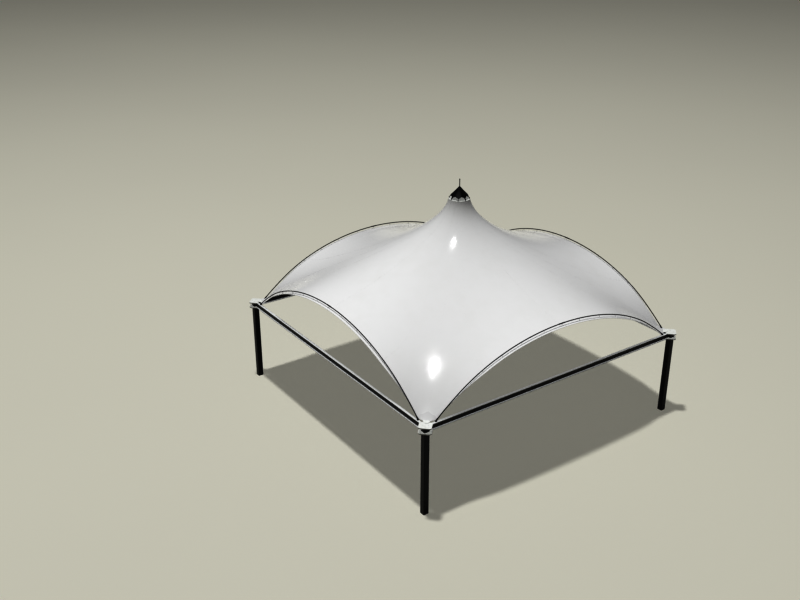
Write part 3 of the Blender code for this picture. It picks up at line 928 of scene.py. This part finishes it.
def make_cap(coat):
    """The pleated cap: gores that sag a little between raised seams, with a turned-up hem."""
    low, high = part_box("peak_cap")
    rim_r, rim_z = high.x, low.z + CAP_SHEET
    bm = bmesh.new()
    rings, inner = [], []
    for step in range(CAP_STEPS + 1):
        share = step / CAP_STEPS
        ring, under = [], []
        for i in range(CAP_SIDES):
            angle = 2 * math.pi * i / CAP_SIDES
            fold = abs(((angle * CAP_GORES / (2 * math.pi)) % 1.0) * 2.0 - 1.0)
            dip = (1.0 - fold) ** CAP_DIP_POWER
            seam = CAP_SEAM * max(0.0, 1.0 - (1.0 - fold) * CAP_SEAM_NARROW)
            seam *= min(1.0, CAP_SEAM_FADE * share)
            radius = CAP_TIP_R + (rim_r - CAP_TIP_R) * share - CAP_PLEAT_IN * dip * share
            z = high.z + (rim_z - high.z) * share + CAP_PLEAT_UP * dip * share
            z -= CAP_SAG * math.sin(math.pi * share) - seam
            z = min(z, high.z)
            ring.append((radius * math.cos(angle), radius * math.sin(angle), z))
            drawn = radius - CAP_SHEET / 4
            under.append((drawn * math.cos(angle), drawn * math.sin(angle), z - CAP_SHEET))
        rings.append(ring)
        inner.append(under)
    skin_rings(bm, rings + inner[::-1])
    mesh = mesh_from(bm, "peak_cap_pleated", coat, sharp=SHARP_CAP)
    made = place("peak_cap_pleated", mesh, 0)
    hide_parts("peak_cap")


# The carried-over solids, the camera, the light and the floor


def set_finish(node, material):
    """Gives a CAD node a better material."""
    for slot in frame["nodes"][node].material_slots:
        slot.material = material


def make_camera():
    """The camera at the photograph's angle."""
    data = bpy.data.cameras.new("camera")
    data.lens = CAMERA_LENS
    data.sensor_width = SENSOR
    data.sensor_fit = "HORIZONTAL"
    data.clip_end = VIEW_END
    camera = bpy.data.objects.new("camera", data)
    camera.location = CAMERA_AT
    camera.rotation_euler = [math.radians(a) for a in CAMERA_TURN]
    bpy.context.scene.collection.objects.link(camera)
    bpy.context.scene.camera = camera


def make_lights():
    """A high studio lamp, a fill in its place that casts no shadow, and a faint even sky.

    The camera alone sees the sky in the tone of the ground at the horizon.
    """
    for name, power, shadow in (("lamp", LAMP_POWER, True), ("fill", FILL_POWER, False)):
        data = bpy.data.lights.new(name, "POINT")
        data.energy = power
        data.shadow_soft_size = LAMP_RADIUS
        data.use_shadow = shadow
        data.use_nodes = True
        tree = data.node_tree
        falloff = tree.nodes.new("ShaderNodeLightFalloff")
        falloff.inputs["Strength"].default_value = 1.0
        tree.links.new(falloff.outputs["Constant"], tree.nodes["Emission"].inputs["Strength"])
        lamp = bpy.data.objects.new(name, data)
        lamp.location = LAMP_AT
        lamp.visible_glossy = shadow
        bpy.context.scene.collection.objects.link(lamp)

    world = bpy.data.worlds.new("sky")
    world.use_nodes = True
    tree = world.node_tree
    background = tree.nodes["Background"]
    background.inputs["Color"].default_value = (1.0, 1.0, 1.0, 1.0)
    background.inputs["Strength"].default_value = SKY
    backdrop = tree.nodes.new("ShaderNodeBackground")
    backdrop.inputs["Color"].default_value = (*HORIZON, 1.0)
    seen = tree.nodes.new("ShaderNodeLightPath")
    either = tree.nodes.new("ShaderNodeMixShader")
    tree.links.new(seen.outputs["Is Camera Ray"], either.inputs[0])
    tree.links.new(background.outputs[0], either.inputs[1])
    tree.links.new(backdrop.outputs[0], either.inputs[2])
    tree.links.new(either.outputs[0], tree.nodes["World Output"].inputs["Surface"])
    bpy.context.scene.world = world
    shown = bpy.context.scene.view_settings
    shown.view_transform = "Standard"
    shown.gamma = TONE_GAMMA


def make_floor():
    """A plain pale floor that reaches past the horizon's haze."""
    bm = bmesh.new()
    bmesh.ops.create_grid(bm, x_segments=FLOOR_CELLS, y_segments=FLOOR_CELLS, size=FLOOR_REACH)
    ground = ground_finish("ground", GROUND, GROUND_PALE)
    mesh = mesh_from(bm, "floor", ground, False)
    floor = bpy.data.objects.new("floor", mesh)
    bpy.context.scene.collection.objects.link(floor)


def main():
    black = powder_coat("black_powder_coat", BLACK, BLACK_DUST, roughness=0.34, dust=0.5)
    white = powder_coat("white_powder_coat", WHITE, WHITE_DUST, roughness=0.38, dust=0.35)
    aluminium = anodised("satin_aluminium", ALUMINIUM, ALUMINIUM_MARKS, roughness=0.34)
    coat = powder_coat("cap_coat", CAP_BLACK, CAP_DUST, roughness=0.42, dust=0.5)
    fabric = coated_fabric("membrane_fabric", FABRIC, FABRIC_SOIL, roughness=0.13, gloss=0.09)
    # The patches' darker tone is painted shade for the steep corner; their roughness is their own.
    backing_painted_shade = coated_fabric("patch_fabric_painted_shade", PATCH_PAINTED_SHADE, PATCH_SOIL, roughness=0.65, gloss=0.1)
    rope = rope_finish("tie_rope", ROPE)
    slots = {
        "black_paint": black,
        "white_paint": white,
        "anodised_aluminium": aluminium,
        "coated_fabric": fabric,
    }
    for subpart in frame["record"]["subparts"]:
        set_finish(subpart["node"], slots[subpart["material_slot"]])

    make_camera()
    make_lights()
    make_floor()

    skin = Skin()
    sheet = make_membrane(skin, fabric)
    # The photograph has hardly any bounced light, so the sheet sends none to the ground.
    sheet.visible_diffuse = False
    on_it = [make_hem(skin, fabric), make_hem_rope(skin, fabric), make_seams(skin, fabric)]
    on_it += make_patches(skin, backing_painted_shade)

    make_arches(black)
    make_ties(skin, rope)
    make_node_screws(white)
    make_collar_welds(white)
    make_cap(coat)


main()
